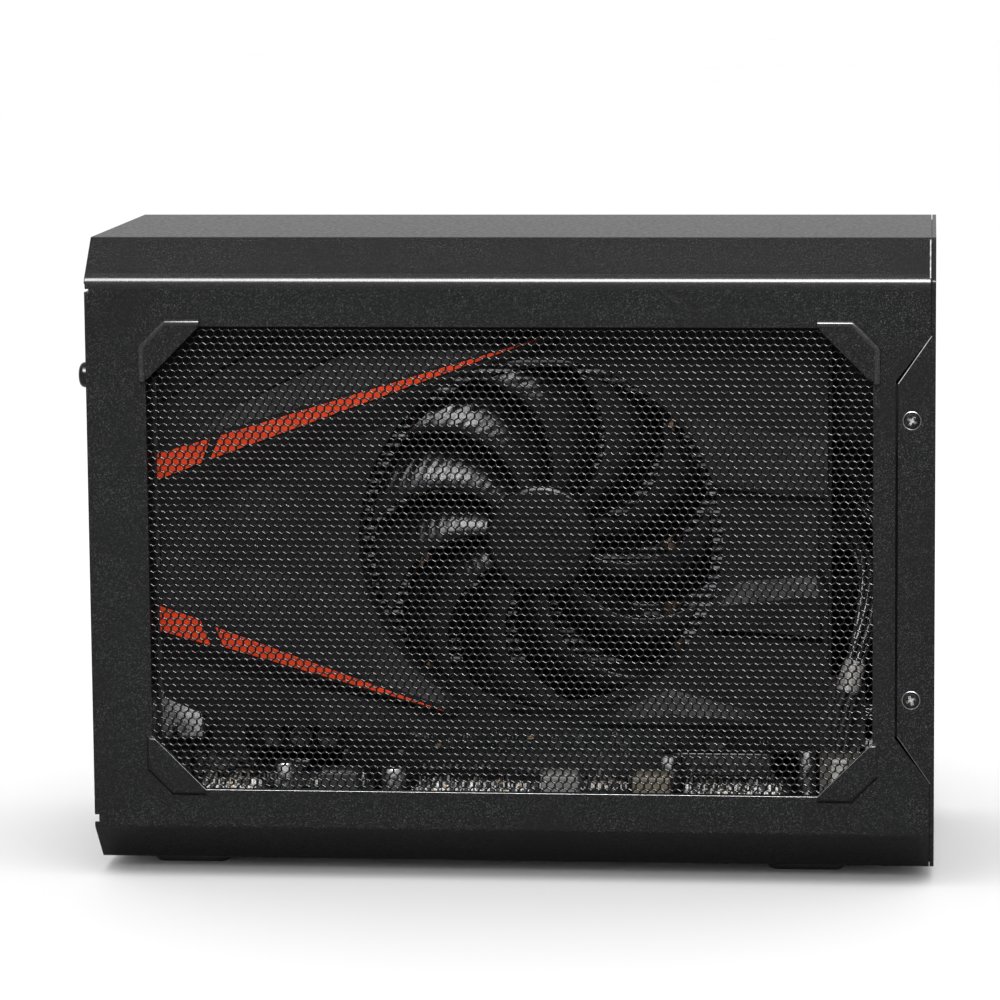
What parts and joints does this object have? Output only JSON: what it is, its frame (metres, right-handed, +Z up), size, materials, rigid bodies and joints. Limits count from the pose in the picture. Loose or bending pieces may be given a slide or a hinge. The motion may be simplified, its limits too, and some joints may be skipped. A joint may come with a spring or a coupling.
{
  "type": "external graphics card enclosure",
  "caption": "Desktop enclosure that holds a graphics card and power supply in a folded black sleeve with bevelled edges, large mesh side windows and rear sockets.",
  "frame": {"origin": "middle of the footprint on the surface it stands on, under the rubber feet", "axes": "+X to the plain front panel, -X to the rear sockets, -Y to the side with the card's fan, +Z up"},
  "size_m": [0.2144, 0.096, 0.162],
  "materials": {
    "case_black": "fine textured matte black powder coat",
    "mesh_black": "black coated perforated sheet",
    "inner_black": "matte black coated folded sheet",
    "panel_black": "matte black coated folded sheet",
    "screw_black": "black oxide, bright in the recess",
    "screw_steel": "nickel plated",
    "foot_rubber": "matte black moulded rubber",
    "board_black": "black solder mask on laminate",
    "bracket_steel": "nickel plated sheet",
    "socket_shell": "bright plated shell",
    "chip_black": "matte black moulded package",
    "fin_aluminium": "bare aluminium",
    "pipe_copper": "bare copper",
    "shroud_plastic": "dark grey moulded plastic",
    "accent_orange": "orange satin plastic",
    "fan_plastic": "glossy black moulded plastic",
    "shaft_steel": "ground steel",
    "slot_black": "black moulded plastic",
    "capacitor_can": "bright aluminium can",
    "header_white": "natural white plastic",
    "supply_steel": "zinc plated sheet",
    "inlet_black": "black moulded plastic",
    "pin_metal": "plated brass",
    "lead_sleeve": "black insulated leads"
  },
  "bodies": {
    "enclosure": {"outer_sleeve": "case_black", "front_panel": "case_black", "fan_side_mesh": "mesh_black", "far_side_mesh": "mesh_black", "base_tray": "inner_black", "supply_shelf": "inner_black", "rear_panel": "panel_black", "front_panel_screws": "screw_black", "rear_screws": "screw_black", "bracket_screws": "screw_steel", "supply_screws": "screw_steel", "board_screws": "screw_steel", "board_standoffs": "screw_steel", "rubber_feet": "foot_rubber", "graphics_board": "board_black", "carrier_board": "board_black", "card_bracket": "bracket_steel", "stacked_video_sockets": "socket_shell", "slim_video_sockets": "socket_shell", "usb_sockets": "socket_shell", "host_socket": "socket_shell", "main_chip": "chip_black", "memory_chips": "chip_black", "carrier_chips": "chip_black", "heatsink": "fin_aluminium", "bridge_heatsink": "fin_aluminium", "heat_pipes": "pipe_copper", "fan_shroud": "shroud_plastic", "fan_mount": "shroud_plastic", "shroud_accents": "accent_orange", "supply_fan_frame": "fan_plastic", "card_slot": "slot_black", "carrier_chokes": "slot_black", "card_choke": "slot_black", "card_power_socket": "slot_black", "card_power_plug": "slot_black", "carrier_capacitors": "capacitor_can", "card_capacitors": "capacitor_can", "board_power_header": "header_white", "power_supply_case": "supply_steel", "mains_inlet": "inlet_black", "inlet_pins": "pin_metal", "card_power_lead": "lead_sleeve", "supply_lead": "lead_sleeve"},
    "card_fan": {"fan_rotor": "fan_plastic", "fan_shaft": "shaft_steel"},
    "supply_fan": {"supply_fan_rotor": "fan_plastic"}
  },
  "joints": [
    {"name": "card_fan_spin", "type": "hinge", "parent": "enclosure", "child": "card_fan", "pos_m": [0.007, -0.03, 0.0855], "axis": [0, -1, 0], "continuous": true},
    {"name": "supply_fan_spin", "type": "hinge", "parent": "enclosure", "child": "supply_fan", "pos_m": [-0.083, 0.02485, 0.1295], "axis": [-1, 0, 0], "continuous": true}
  ]
}
